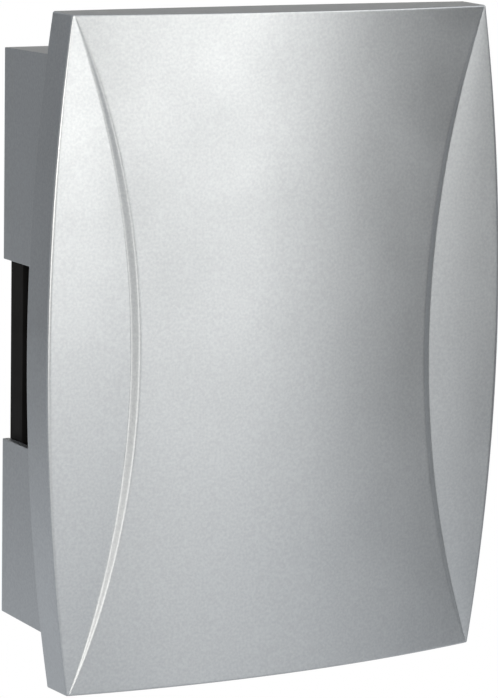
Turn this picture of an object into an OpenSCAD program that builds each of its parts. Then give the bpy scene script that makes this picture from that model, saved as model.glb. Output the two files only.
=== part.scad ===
// Two-tone wall chime. A silver cover and frame enclose a solenoid that strikes two tone bars.
// Lengths are in millimetres. The wall is the plane y = 0, +Z is up and the front faces -Y.
// Each module draws on the wall seen from the front: x right, y up, z out of the wall.

/* [Front cover] */
// Height of the cover at the back of its rim
cover_h = 200; // [194:1:230]
// Width of the cover across its bowed sides at the back of its rim
cover_w = 156; // [142:0.2:180]
// How far each long side bows out at mid-height
side_bulge = 7.6; // [6.6:0.2:12]
// Depth of the rim behind the side fields' outer edges
rim_depth = 12.5; // [11:0.5:18]
// Rise of the crowned centre panel above the side fields' outer edges
crown_rise = 6.8; // [5.6:0.2:10]
// How far each side field rises from its outer edge to the step at mid-height
field_rise = 1.9; // [0.4:0.1:2.4]
// Width of the centre panel at its waist
waist_w = 102.8; // [90:0.2:112]
// Sideways run of the step around the centre panel
step_run = 2.2; // [0.8:0.1:3]
// Narrowing of the rim from back to front on each side
rim_draft = 0.1; // [0.1:0.1:0.8]
// Narrowing of the rim from back to front at each end
end_draft = 0.3; // [0.1:0.1:0.8]
// Rounding of the cover's front edges
edge_r = 0.6; // [0.4:0.1:1.6]
// Wall thickness of the cover
cover_wall = 2.4; // [1.8:0.1:3]
// Thickness of the cover's locating ribs
cover_rib_t = 1.8; // [1.2:0.1:3]
// Spacing of the locating ribs along each side
cover_rib_pitch = 56; // [40:1:62]

/* [Rear frame] */
// Distance of the frame's sides at the wall from the cover's widest point
side_overhang = 6.4; // [5:0.1:8]
// Room between the low bar's upper end and the frame's inner wall
top_room = 9.9; // [5:0.1:13]
// Room between the low bar's lower end and the frame's inner wall
bottom_room = 5.5; // [4:0.1:13]
// Depth of the frame from the wall to the cover's rim
frame_depth = 28.4; // [27:0.2:40]
// Widening of the frame from the wall to the rim on each side
frame_draft = 0.4; // [0.1:0.1:0.5]
// Wall thickness of the frame at the wall
frame_wall = 2.3; // [1.8:0.1:3]
// Distance of the cover's seat from the frame's outer face
spigot_inset = 2.7; // [2.4:0.1:3.4]
// Thickness of the spigot that the cover pushes onto
spigot_wall = 1.8; // [1.4:0.1:2.4]
// Height of the spigot above the rim's back
spigot_reach = 7; // [4:0.5:9]
// Height of each sound notch above the cover's mid-height
notch_top = 24.5; // [15:0.5:32]
// Depth of each sound notch below the cover's mid-height
notch_bottom = 29.7; // [20:0.1:36]
// Depth of each sound notch from the wall
notch_depth = 20; // [14:0.5:22]
// Diameter of the frame's screw posts
post_d = 7; // [6:0.2:8]

/* [Back plate] */
// Thickness of the back plate
plate_t = 2.5; // [2:0.1:3.5]
// Height of the plate's upstand above its inner face
upstand_h = 5.5; // [3:0.5:8]
// Thickness of the plate's upstand
upstand_t = 1.8; // [1.2:0.1:2.6]
// Sideways spacing of the wall screws
wall_hole_dx = 76; // [60:1:80]
// Upright spacing of the wall screws
wall_hole_dz = 136; // [126:1:140]
// Diameter of the wall screw holes
wall_hole_d = 4.5; // [3.5:0.1:5.5]
// Distance of the cable window's middle from the frame's lower end
window_rise = 13.8; // [12.5:0.1:15]
// Width of the cable window
window_w = 26; // [16:1:40]
// Height of the cable window
window_h = 9; // [7:0.5:11]

/* [Tone bars] */
// Room between each bar's outer face and the frame's inner wall
bar_room = 14.8; // [13:0.1:18]
// Thickness of both bars
bar_t = 2.5; // [1.5:0.1:3.5]
// Width of both bars out of the wall
bar_w = 24; // [18:0.5:28]
// Length of the low bar on the left
low_bar_l = 150; // [130:1:156]
// Length of the high bar on the right
high_bar_l = 130; // [110:1:150]
// Diameter of the bar pins
bar_pin_d = 3; // [2.4:0.1:3.6]
// Diameter of the grommet flanges
grommet_d = 10; // [8.6:0.2:12]
// Thickness of each grommet flange
grommet_flange = 2.2; // [1.4:0.1:2.8]
// Diameter of the holes in the bars
bar_hole_d = 6.5; // [5.6:0.1:7.4]
// Width of each fork cheek along the bar
cheek_w = 10; // [7:0.5:13]
// Thickness of each fork cheek
cheek_t = 2.4; // [1.8:0.1:3]

/* [Solenoid] */
// Room between each bar's inner face and the former's nearer flange
coil_room = 27; // [26:0.5:30]
// Side of the former's square flanges
flange_w = 25; // [23:0.5:26]
// Thickness of the former's flanges
flange_t = 1.8; // [1.2:0.1:2.4]
// Outer diameter of the former's tube
former_d = 11; // [10.8:0.1:12]
// Length of the former's tube past each end plate
former_reach = 2.5; // [2:0.1:4]
// Outer diameter of the winding
winding_d = 21.4; // [17:0.2:22]
// Thickness of the insulating wrap
tape_t = 0.4; // [0.2:0.1:0.6]
// Width of the insulating wrap
tape_w = 30; // [16:1:38]
// Thickness of the yoke's steel
yoke_t = 1.5; // [1:0.1:2]
// Width of the yoke
yoke_w = 24; // [18:0.5:26]
// Outer diameter of the guide tube
guide_d = 9.4; // [9.2:0.1:9.8]
// Wall thickness of the guide tube
guide_wall = 0.4; // [0.3:0.05:0.5]

/* [Plunger] */
// How much shorter the steel core is than the former
core_short = 10; // [6:0.5:14]
// Resting gap between the left striker and the low bar
rest_gap_left = 3.3; // [2:0.1:5]
// Resting gap between the right striker and the high bar
rest_gap_right = 9.3; // [6:0.1:10]
// Length of the left striker outside the core
left_striker_l = 19.7; // [18:0.1:24]
// Diameter of both strikers
striker_d = 5; // [4:0.1:6]
// Diameter of the stem of each striker inside the core
stem_d = 3.4; // [2.4:0.1:4]
// Length of that stem
stem_l = 6; // [4:0.5:9]
// Outer diameter of the spring collar
collar_d = 12; // [11.6:0.1:14]
// Thickness of the spring collar
collar_t = 1.5; // [1:0.1:2.5]
// Length of the return spring's space at rest
spring_l = 14; // [12.5:0.1:15]
// Wire diameter of the return spring
spring_wire = 0.6; // [0.4:0.05:0.7]
// Number of curls of the return spring
spring_curls = 5; // [3:1:6]

/* [Terminals] */
// Distance of the terminal block's middle above the cable window's
block_rise = 16; // [14.5:0.5:20]
// Distance between the two poles
pole_pitch = 14; // [13:0.5:20]
// Width of each pole's tower
tower_w = 9; // [8:0.2:11]
// Length of the terminal block up the wall
block_l = 18; // [16:0.5:22]
// Height of the towers above the plate
tower_h = 13; // [12:0.5:18]
// Height of the web between the towers
web_h = 5; // [3:0.5:7]
// Outer diameter of the clamping tubes
clamp_d = 5; // [4.6:0.1:6]
// Bore of the clamping tubes
clamp_bore = 3.2; // [2.6:0.1:3.6]
// Height of the clamping tubes' axis above the plate
clamp_rise = 5.5; // [5:0.1:7]
// Diameter of the coil leads
lead_d = 1.8; // [1.2:0.1:2.2]

/* [Screws and fits] */
// Shank diameter of the fixing screws
screw_d = 2.6; // [2.2:0.1:3]
// Head diameter of the fixing screws
screw_head_d = 5; // [4.4:0.1:5.4]
// Head height of the fixing screws
screw_head_t = 1.1; // [0.8:0.1:1.3]
// Length of the frame screws' shanks
frame_screw_l = 8; // [5:0.5:14]
// Gap around screws, pins and pieces that are pushed together
push_gap = 0.05; // [0.03:0.01:0.08]
// Gap around pieces that are laid in place
loose_gap = 0.25; // [0.15:0.05:0.4]
// Running clearance of the core in the guide tube
run_gap = 0.08; // [0.03:0.01:0.1]

/* [Hidden] */
$fa = 4;
$fs = 0.5;
// Sides of the cover's long arcs, and the reach of a cut past the face that it opens
arc_sides = 240;
past = 1;

// Levels out of the wall
flat_z = frame_depth + rim_depth;
crown_z = flat_z + crown_rise;
spigot_z = frame_depth + spigot_reach;
collar_rise = 6;
collar_z = frame_depth - collar_rise;

// Cover outline: each long side is one arc, and so is each edge of the centre panel
half_h = cover_h / 2;
side_x = cover_w / 2;
corner_x = side_x - side_bulge;
side_r = (half_h ^ 2 + side_bulge ^ 2) / (2 * side_bulge);
crown_x = corner_x - rim_draft;
crown_r = (crown_x ^ 2 + crown_rise ^ 2) / (2 * crown_rise);
crown_axis_z = crown_z - crown_r;
panel_end_x = crown_x - edge_r / 2;

// Each side field is a shallow cone about its side's axis, and the step climbs from it to the crown
field_tan = field_rise / (side_x - rim_draft - edge_r - waist_w / 2);
brow_rise = crown_rise * (1 - ((waist_w / 2 - step_run) / crown_x) ^ 2);
field_top = (field_rise + brow_rise) / 2;
step_slope = step_run / (brow_rise - field_rise);
step_shift = sqrt(1 + step_slope ^ 2);
foot_x = waist_w / 2 + field_rise * step_slope;
waist_sag = panel_end_x - foot_x;
waist_r = (half_h ^ 2 + waist_sag ^ 2) / (2 * waist_sag);

// Frame and plate; the frame is as tall as the low bar needs
frame_top = low_bar_l / 2 + top_room + frame_wall;
frame_bottom = low_bar_l / 2 + bottom_room + frame_wall;
frame_mid_y = (frame_top - frame_bottom) / 2;
frame_h = frame_top + frame_bottom;
frame_w = cover_w - 2 * side_overhang;
inner_w = frame_w - 2 * frame_wall;
inner_h = frame_h - 2 * frame_wall;
spigot_w = frame_w - 2 * spigot_inset;
spigot_h = frame_h - 2 * spigot_inset;
plate_w = inner_w - 2 * loose_gap;
plate_h = inner_h - 2 * loose_gap;
post_set = 0.4 * post_d;
post_x = inner_w / 2 - post_set;
post_y = inner_h / 2 - post_set;
recess_gap = 0.1;
head_recess = screw_head_t + recess_gap;
boss_margin = 1.5;
boss_d = screw_head_d + 2 * boss_margin;
boss_rise = 2;
blind_floor = 0.8;
screw_tip_gap = 0.4;
window_y = window_rise - frame_bottom;

// Solenoid and bars share one axis across the box
bar_gap = inner_w - 2 * (bar_room + bar_t);
coil_l = bar_gap - 2 * coil_room;
bed_z = plate_t + boss_rise;
flange_lift = 0.5;
axis_z = bed_z + yoke_t + flange_lift + flange_w / 2;
yoke_x = coil_l / 2;
former_x = yoke_x + yoke_t + former_reach;
lug_margin = 2;
lug_w = screw_head_d + 2 * lug_margin;
lug_y = yoke_w / 2 + screw_head_d / 2 + lug_margin;
guide_bore = guide_d - 2 * guide_wall;
core_d = guide_bore - 2 * run_gap;
bar_x = (bar_gap + bar_t) / 2;
still_point = 0.276;
cheek_x = bar_t / 2 + grommet_flange + loose_gap + cheek_t / 2;
pin_overhang = 0.5;
pin_l = 2 * cheek_x + cheek_t + 2 * pin_overhang;
fork_mouth_h = 4;
cheek_top = axis_z + bar_pin_d / 2 + fork_mouth_h;
groove_d = bar_hole_d - 2 * push_gap;

// Plunger, measured along x at rest
core_l = coil_l - core_short;
left_tip_x = -bar_gap / 2 + rest_gap_left;
right_tip_x = bar_gap / 2 - rest_gap_right;
core_left_x = left_tip_x + left_striker_l;
core_right_x = core_left_x + core_l;
right_striker_l = right_tip_x - core_right_x;
tip_crown_r = 1.4 * striker_d;
collar_x = -former_x - spring_l;

// Return spring, seated on the end face of the former's tube
spring_out = 0.2;
spring_r = (former_d + guide_bore) / 4 + spring_out;
curl_rings = 8;
wire_sides = 6;
spring_seat_gap = 0.1;

// Terminal block
block_y = window_y + block_rise;
clamp_z = plate_t + clamp_rise;
clamp_l = block_l - 3;
clamp_screw_d = 2.5;
clamp_head_d = 3.6;
clamp_head_t = 2;
clamp_screw_y = block_l / 4;

// Route of the left lead from its tag to its clamping tube; the right lead mirrors it
tag_w = 3;
tag_t = 0.7;
tag_l = 4.5;
lead_in_clamp = 7;
lead_start = [-(yoke_x - flange_t / 2), -flange_w / 2 - tag_l, axis_z];
lead_end = [-pole_pitch / 2, block_y + block_l / 2 - lead_in_clamp, clamp_z];
lead_steps = 14;
lead_straight = [0.08, 0.78];
function sway(t) =
    let (s = max(0, min(1, (t - lead_straight[0]) / (lead_straight[1] - lead_straight[0]))))
    s * s * (3 - 2 * s);
lead_route = [for (i = [0 : lead_steps]) let (t = i / lead_steps, over = sway(t), run = lead_end - lead_start)
    lead_start + [run[0] * over, run[1] * t, run[2] * over]];
lead_sides = 8;

// Shared forms

// Stands what is drawn on the wall upright, with the front facing -Y
module on_wall() {
    rotate([90, 0, 0]) children();
}

// Turns a form drawn along z so that it runs along +x
module along_x() {
    rotate([0, 90, 0]) children();
}

// Turns a form drawn along z so that it runs along +y
module along_y() {
    rotate([-90, 0, 0]) children();
}

module both_sides() {
    children();
    mirror([1, 0, 0]) children();
}

module at_corners(x, y) {
    for (sx = [-1, 1], sy = [-1, 1]) translate([sx * x, sy * y]) children();
}

module centred_box(w, h, t) {
    translate([-w / 2, -h / 2]) cube([w, h, t]);
}

module rounded_rect(w, h, r) {
    square([w, h - 2 * r], center = true);
    square([w - 2 * r, h], center = true);
    at_corners(w / 2 - r, h / 2 - r) circle(r);
}

// A box whose four sides lean outwards by draft over its depth
module drafted_box(w, h, depth, draft) {
    lean = [[-1, 0], [1, 0], [1, depth], [-1, depth]];
    function side(size) = [for (p = lean) [p[0] * (size / 2 + draft * p[1] / depth), p[1]]];
    intersection() {
        translate([0, h, 0]) rotate([90, 0, 0]) linear_extrude(2 * h) polygon(side(w));
        translate([-w, 0, 0]) rotate([90, 0, 90]) linear_extrude(2 * w) polygon(side(h));
    }
}

// A screw with its seat at z = 0, its shank below and a crowned, slotted head above
module slotted_screw(shank_d, shank_l, head_d, head_t) {
    slot_w = head_d / 6;
    translate([0, 0, -shank_l]) cylinder(d = shank_d, h = shank_l + head_t / 2);
    difference() {
        intersection() {
            cylinder(d = head_d, h = head_t);
            translate([0, 0, head_t - head_d]) sphere(head_d);
        }
        translate([-head_d, -slot_w / 2, head_t / 2]) cube([2 * head_d, slot_w, head_t]);
    }
}

// One unbroken tube through a list of points; each ring squares up to the run before and after it
module swept_tube(path, d, sides, across) {
    last = len(path) - 1;
    function run(i) = path[min(i + 1, last)] - path[max(i - 1, 0)];
    function unit(v) = v / norm(v);
    rings = [for (i = [0 : last])
        let (along = unit(run(i)), u = unit(cross(along, across(i))), v = cross(along, u))
        for (k = [0 : sides - 1])
            path[i] + d / 2 * (cos(360 * k / sides) * u + sin(360 * k / sides) * v)];
    function next(k) = (k + 1) % sides;
    walls = [for (i = [0 : last - 1], k = [0 : sides - 1])
        let (a = i * sides + k, b = i * sides + next(k))
        each [[a, b, b + sides], [a, b + sides, a + sides]]];
    start_cap = [for (k = [1 : sides - 2]) [0, k + 1, k]];
    end_cap = [for (k = [1 : sides - 2]) [last * sides, last * sides + k, last * sides + k + 1]];
    polyhedron(points = rings, faces = concat(walls, start_cap, end_cap), convexity = 8);
}

// Front cover

// Everything inside one bowed side of the cover, with its front edge rounded and its field sloping up
module side_disc(inset, back) {
    top = flat_z - inset;
    reach = side_r - inset;
    front_reach = reach - rim_draft;
    field_reach = front_reach - edge_r;
    translate([side_x - side_r, 0, 0]) rotate_extrude($fn = arc_sides) union() {
        polygon([[0, back], [reach, back], [front_reach, top - edge_r], [0, top - edge_r]]);
        polygon([
            [0, back], [field_reach, back], [field_reach, top],
            [field_reach - field_top / field_tan, top + field_top], [0, top + field_top]
        ]);
        translate([field_reach, top - edge_r]) circle(edge_r);
    }
}

// A drum about the crown's upright axis; its ends are the cover's top and bottom faces
module end_drum(inset) {
    lean = end_draft / rim_depth;
    inner_r = crown_r / 2;
    outer_r = crown_r + cover_h;
    spread = asin(side_x / inner_r);
    function end_y(r) = half_h - inset - lean * (r - (frame_depth - crown_axis_z));
    translate([0, 0, crown_axis_z]) along_y()
        rotate_extrude(angle = 2 * spread, start = 270 - spread, $fn = arc_sides) polygon([
            [inner_r, -end_y(inner_r)], [outer_r, -end_y(outer_r)],
            [outer_r, end_y(outer_r)], [inner_r, end_y(inner_r)]
        ]);
}

// The crowned front of the centre panel, taller than the cover
module crowned_slab(inset) {
    slab_h = cover_h + 10;
    intersection() {
        translate([0, -slab_h / 2, crown_axis_z]) along_y()
            cylinder(r = crown_r - inset, h = slab_h, $fn = arc_sides);
        translate([0, 0, flat_z - inset - rim_depth / 4]) centred_box(2 * crown_x, 2 * slab_h, crown_z);
    }
}

// What lies beyond one edge of the centre panel; its wall is the step
module panel_cutter(inset) {
    foot_r = waist_r + inset * step_shift;
    reach = 2 * crown_rise;
    translate([foot_x + waist_r, 0, flat_z - reach]) cylinder(
        r1 = foot_r - reach * step_slope,
        r2 = foot_r + reach * step_slope,
        h = 2 * reach,
        $fn = arc_sides
    );
}

// The cover's outer form, or one drawn in from it by inset
module cover_form(inset, back) {
    intersection() {
        end_drum(inset);
        union() {
            intersection() {
                side_disc(inset, back);
                mirror([1, 0, 0]) side_disc(inset, back);
            }
            difference() {
                crowned_slab(inset);
                both_sides() panel_cutter(inset);
            }
        }
    }
}

// Ribs that stand on the frame's shoulder and bear on its spigot
module cover_ribs() {
    clear_w = spigot_w + 2 * loose_gap;
    clear_h = spigot_h + 2 * loose_gap;
    difference() {
        for (i = [-1 : 1]) {
            translate([0, i * cover_rib_pitch + frame_mid_y, frame_depth])
                centred_box(2 * side_x, cover_rib_t, crown_z);
            translate([i * cover_rib_pitch, 0, frame_depth])
                centred_box(cover_rib_t, cover_h, crown_z);
        }
        translate([0, frame_mid_y, 0]) centred_box(clear_w, clear_h, 2 * crown_z);
    }
}

module front_cover() {
    color("silver") on_wall() {
        difference() {
            cover_form(0, frame_depth);
            cover_form(cover_wall, frame_depth - past);
        }
        intersection() {
            cover_form(cover_wall / 2, frame_depth);
            cover_ribs();
        }
    }
}

// Rear frame and back plate

module frame_posts(d, from, to) {
    translate([0, frame_mid_y, from]) at_corners(post_x, post_y) cylinder(d = d, h = to - from);
}

module rear_frame() {
    notch_h = notch_top + notch_bottom;
    color("silver") on_wall() difference() {
        union() {
            difference() {
                translate([0, frame_mid_y, 0]) drafted_box(frame_w, frame_h, frame_depth, frame_draft);
                translate([0, frame_mid_y, -past]) centred_box(inner_w, inner_h, collar_z + past);
                translate([0, frame_mid_y, 0])
                    centred_box(spigot_w - 2 * spigot_wall, spigot_h - 2 * spigot_wall, 2 * crown_z);
            }
            difference() {
                translate([0, frame_mid_y, collar_z]) centred_box(spigot_w, spigot_h, spigot_z - collar_z);
                translate([0, frame_mid_y, 0])
                    centred_box(spigot_w - 2 * spigot_wall, spigot_h - 2 * spigot_wall, 2 * crown_z);
            }
            intersection() {
                frame_posts(post_d, plate_t, collar_z + past);
                translate([0, frame_mid_y, 0])
                    centred_box(frame_w - frame_wall, frame_h - frame_wall, crown_z);
            }
        }
        frame_posts(screw_d + 2 * push_gap, 0, plate_t + frame_screw_l);
        translate([-frame_w, -notch_bottom, -past]) cube([2 * frame_w, notch_h, notch_depth + past]);
    }
}

module frame_screws() {
    shank = frame_screw_l + plate_t - head_recess - past;
    color("dimgray") on_wall() translate([0, frame_mid_y, head_recess]) at_corners(post_x, post_y)
        mirror([0, 0, 1]) slotted_screw(screw_d, shank, screw_head_d, screw_head_t);
}

// One forked pair of cheeks that carries a bar at one of its still points
module bar_fork() {
    snap = 0.3;
    mouth_w = bar_pin_d - snap;
    root = cheek_t / 2;
    for (side = [-1, 1]) translate([side * cheek_x - cheek_t / 2, 0, 0]) rotate([90, 0, 90])
        linear_extrude(cheek_t) difference() {
            polygon([
                [-cheek_w / 2 - root, plate_t - past], [cheek_w / 2 + root, plate_t - past],
                [cheek_w / 2 + root, plate_t], [cheek_w / 2, plate_t + 3 * root],
                [cheek_w / 2, cheek_top - root], [cheek_w / 2 - root, cheek_top],
                [-cheek_w / 2 + root, cheek_top], [-cheek_w / 2, cheek_top - root],
                [-cheek_w / 2, plate_t + 3 * root], [-cheek_w / 2 - root, plate_t]
            ]);
            translate([0, axis_z]) circle(d = bar_pin_d + 2 * push_gap);
            translate([-mouth_w / 2, axis_z]) square([mouth_w, cheek_top]);
            translate([0, cheek_top]) polygon([[-bar_pin_d, past], [0, -bar_pin_d], [bar_pin_d, past]]);
        }
}

// Places its children at both still points of both bars
module at_still_points() {
    for (sy = [-1, 1]) {
        translate([-bar_x, sy * still_point * low_bar_l, 0]) children();
        translate([bar_x, sy * still_point * high_bar_l, 0]) children();
    }
}

module at_wall_holes() {
    translate([0, frame_mid_y, 0]) at_corners(wall_hole_dx / 2, wall_hole_dz / 2) children();
}

module plate_upstand() {
    side_run = 2 * (post_y - post_d / 2 - 2 * past) - post_d;
    end_run = 2 * (post_x - post_d / 2 - 2 * past) - post_d;
    height = plate_t + upstand_h;
    difference() {
        translate([0, frame_mid_y, 0]) union() {
            centred_box(plate_w, side_run, height);
            centred_box(end_run, plate_h, height);
        }
        translate([0, frame_mid_y, -past])
            centred_box(plate_w - 2 * upstand_t, plate_h - 2 * upstand_t, height + 2 * past);
    }
}

module back_plate() {
    corner_r = 1.5;
    washer_d = 2 * wall_hole_d + past;
    pad_w = yoke_x / 5;
    pilot_d = screw_d + 2 * push_gap;
    color([0.09, 0.09, 0.1]) on_wall() difference() {
        union() {
            translate([0, frame_mid_y, 0]) linear_extrude(plate_t) rounded_rect(plate_w, plate_h, corner_r);
            plate_upstand();
            at_still_points() bar_fork();
            at_wall_holes() cylinder(d = washer_d, h = plate_t + past);
            for (sy = [-1, 1]) translate([0, sy * lug_y, 0]) cylinder(d = boss_d, h = bed_z);
            for (sx = [-1, 1]) translate([sx * (yoke_x - pad_w), 0, 0])
                centred_box(pad_w, yoke_w - pad_w, bed_z);
        }
        at_wall_holes() translate([0, 0, -past]) cylinder(d = wall_hole_d, h = plate_t + 3 * past);
        frame_posts(screw_d + 2 * loose_gap, -past, plate_t + past);
        frame_posts(screw_head_d + 2 * loose_gap, -past, head_recess);
        for (sy = [-1, 1]) translate([0, sy * lug_y, blind_floor]) cylinder(d = pilot_d, h = bed_z);
        translate([0, block_y, blind_floor]) cylinder(d = pilot_d, h = bed_z);
        translate([0, window_y, -past]) centred_box(window_w, window_h, plate_t + 2 * past);
    }
}

// Tone bars

module tone_bar(length) {
    corner_r = 2;
    rotate([90, 0, 90]) linear_extrude(bar_t) difference() {
        rounded_rect(length, bar_w, corner_r);
        for (sy = [-1, 1]) translate([sy * still_point * length, 0]) circle(d = bar_hole_d);
    }
}

module tone_bar_low() {
    color("lightsteelblue") on_wall() translate([-bar_x - bar_t / 2, 0, axis_z]) tone_bar(low_bar_l);
}

module tone_bar_high() {
    color("lightsteelblue") on_wall() translate([bar_x - bar_t / 2, 0, axis_z]) tone_bar(high_bar_l);
}

module bar_grommets() {
    bore_r = bar_pin_d / 2 + push_gap;
    groove_x = bar_t / 2 + push_gap;
    flange_x = bar_t / 2 + grommet_flange;
    soft_edge = grommet_flange / 4;
    color([0.15, 0.15, 0.15]) on_wall() at_still_points() translate([0, 0, axis_z]) along_x()
        rotate_extrude() polygon([
            [bore_r, -flange_x], [grommet_d / 2 - soft_edge, -flange_x],
            [grommet_d / 2, -flange_x + soft_edge], [grommet_d / 2, -groove_x], [groove_d / 2, -groove_x],
            [groove_d / 2, groove_x], [grommet_d / 2, groove_x], [grommet_d / 2, flange_x - soft_edge],
            [grommet_d / 2 - soft_edge, flange_x], [bore_r, flange_x]
        ]);
}

module bar_pins() {
    color("gray") on_wall() at_still_points() translate([-pin_l / 2, 0, axis_z]) along_x()
        cylinder(d = bar_pin_d, h = pin_l);
}

// Solenoid

module coil_yoke() {
    end_h = flange_w + yoke_t + flange_lift;
    corner = 4;
    former_hole_d = former_d + 2 * loose_gap;
    color("lightgray") on_wall() difference() {
        translate([0, 0, bed_z]) union() {
            centred_box(coil_l + 2 * yoke_t, yoke_w, yoke_t);
            for (sx = [-1, 1]) translate([sx * (yoke_x + yoke_t / 2) - yoke_t / 2, 0, 0]) rotate([90, 0, 90])
                linear_extrude(yoke_t) polygon([
                    [-yoke_w / 2, 0], [yoke_w / 2, 0], [yoke_w / 2, end_h - corner],
                    [yoke_w / 2 - corner, end_h], [-yoke_w / 2 + corner, end_h], [-yoke_w / 2, end_h - corner]
                ]);
            for (sy = [-1, 1]) {
                translate([0, sy * lug_y, 0]) cylinder(d = lug_w, h = yoke_t);
                translate([0, sy * lug_y / 2, 0]) centred_box(lug_w, lug_y, yoke_t);
            }
        }
        translate([-coil_l, 0, axis_z]) along_x() cylinder(d = former_hole_d, h = 2 * coil_l);
        for (sy = [-1, 1]) translate([0, sy * lug_y, 0]) cylinder(d = screw_d + 2 * loose_gap, h = axis_z);
    }
}

module yoke_screws() {
    shank = bed_z + yoke_t - blind_floor - screw_tip_gap;
    color("dimgray") on_wall() for (sy = [-1, 1]) translate([0, sy * lug_y, bed_z + yoke_t])
        rotate(45) slotted_screw(screw_d, shank, screw_head_d, screw_head_t);
}

module coil_bobbin() {
    bore_d = guide_d + 2 * push_gap;
    corner_r = 2;
    color("ivory") on_wall() translate([0, 0, axis_z]) difference() {
        union() {
            translate([-former_x, 0, 0]) along_x() cylinder(d = former_d, h = 2 * former_x);
            for (x = [-yoke_x, yoke_x - flange_t]) translate([x, 0, 0]) along_x()
                linear_extrude(flange_t) rounded_rect(flange_w, flange_w, corner_r);
        }
        translate([-former_x - past, 0, 0]) along_x() cylinder(d = bore_d, h = 2 * (former_x + past));
        both_sides() translate([yoke_x - flange_t / 2, -flange_w / 2 - past, 0])
            cube([tag_t + 2 * push_gap, 2 * (tag_w + past), tag_w + 2 * push_gap], center = true);
    }
}

// A sleeve about the solenoid's axis
module axis_sleeve(outer_d, inner_d, length) {
    on_wall() translate([-length / 2, 0, axis_z]) along_x() difference() {
        cylinder(d = outer_d, h = length);
        translate([0, 0, -past]) cylinder(d = inner_d, h = length + 2 * past);
    }
}

module coil_winding() {
    color("peru") axis_sleeve(winding_d, former_d + 2 * push_gap, coil_l - 2 * flange_t);
}

module coil_tape() {
    inner_d = winding_d + 2 * push_gap;
    color("goldenrod") axis_sleeve(inner_d + 2 * tape_t, inner_d, tape_w);
}

module coil_tags() {
    root_y = -flange_w / 2 + tag_w;
    color("gold") on_wall() both_sides() translate([yoke_x - flange_t / 2, root_y, axis_z])
        rotate([90, 0, 90]) translate([0, 0, -tag_t / 2]) linear_extrude(tag_t)
            translate([-tag_l - tag_w, -tag_w / 2]) square([tag_l + tag_w, tag_w]);
}

module plunger_tube() {
    color("darkgoldenrod") axis_sleeve(guide_d, guide_bore, 2 * former_x);
}

// Plunger

module plunger_core() {
    bore_d = stem_d + 2 * push_gap;
    depth = stem_l + 2 * push_gap;
    color("slategray") on_wall() translate([core_left_x, 0, axis_z]) along_x() difference() {
        cylinder(d = core_d, h = core_l);
        translate([0, 0, -past]) cylinder(d = bore_d, h = depth + past);
        translate([0, 0, core_l - depth]) cylinder(d = bore_d, h = depth + past);
    }
}

// A striker with its shoulder on the core at z = 0 and its crowned tip at z = length
module striker(length) {
    translate([0, 0, -stem_l]) cylinder(d = stem_d, h = stem_l + past);
    intersection() {
        cylinder(d = striker_d, h = length);
        translate([0, 0, length - tip_crown_r]) sphere(tip_crown_r);
    }
    cylinder(d = striker_d, h = length - striker_d);
}

module striker_left() {
    color("white") on_wall() translate([core_left_x, 0, axis_z]) mirror([1, 0, 0]) along_x()
        striker(left_striker_l);
}

module striker_right() {
    color("white") on_wall() translate([core_right_x, 0, axis_z]) along_x() striker(right_striker_l);
}

module spring_collar() {
    color("white") on_wall() translate([collar_x - collar_t, 0, axis_z]) along_x() difference() {
        cylinder(d = collar_d, h = collar_t);
        translate([0, 0, -past]) cylinder(d = striker_d + 2 * push_gap, h = collar_t + 2 * past);
    }
}

// The spring's wire runs straight into both seats, square to them
function spring_path() =
    let (
        start_x = collar_x + spring_seat_gap,
        end_x = -former_x - spring_seat_gap,
        rings = spring_curls * curl_rings,
        lead_in = 1.5 * spring_wire,
        pitch = (end_x - start_x - 2 * lead_in) / rings
    )
    concat(
        [[start_x, spring_r, axis_z]],
        [for (i = [0 : rings]) [
            start_x + lead_in + i * pitch,
            spring_r * cos(360 * i / curl_rings),
            axis_z + spring_r * sin(360 * i / curl_rings)
        ]],
        [[end_x, spring_r, axis_z]]
    );

function from_axis(p) = [0, p[1], p[2] - axis_z];

module return_spring() {
    path = spring_path();
    half_curl = curl_rings / 2;
    spans = [for (i = [0 : len(path) - 1], j = [0 : len(path) - 1])
        if (j > i + half_curl) norm(path[j] - path[i])];
    echo(least_spring_gap = min(spans) - spring_wire);
    color("silver") on_wall() swept_tube(path, spring_wire, wire_sides, function(i) from_axis(path[i]));
}

// Terminals and leads

module terminal_block() {
    well_d = clamp_head_d + 2 * loose_gap;
    tower_corner = 1.5;
    pole_x = pole_pitch / 2;
    color("whitesmoke") on_wall() translate([0, block_y, 0]) difference() {
        union() {
            translate([0, 0, plate_t]) centred_box(pole_pitch, block_l, web_h);
            both_sides() translate([pole_x, 0, plate_t]) linear_extrude(tower_h)
                rounded_rect(tower_w, block_l, tower_corner);
        }
        both_sides() translate([pole_x, 0, 0]) {
            translate([0, -block_l, clamp_z]) along_y() cylinder(d = clamp_d + 2 * push_gap, h = 2 * block_l);
            for (sy = [-1, 1]) translate([0, sy * clamp_screw_y, clamp_z]) cylinder(d = well_d, h = tower_h);
        }
        cylinder(d = screw_d + 2 * loose_gap, h = axis_z);
    }
}

module terminal_tubes() {
    tap_d = clamp_screw_d + 2 * push_gap;
    color("gold") on_wall() translate([0, block_y, clamp_z]) both_sides() translate([pole_pitch / 2, 0, 0])
        difference() {
            translate([0, -clamp_l / 2, 0]) along_y() cylinder(d = clamp_d, h = clamp_l);
            translate([0, -clamp_l, 0]) along_y() cylinder(d = clamp_bore, h = 2 * clamp_l);
            for (sy = [-1, 1]) translate([0, sy * clamp_screw_y, 0]) cylinder(d = tap_d, h = clamp_d);
        }
}

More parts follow.
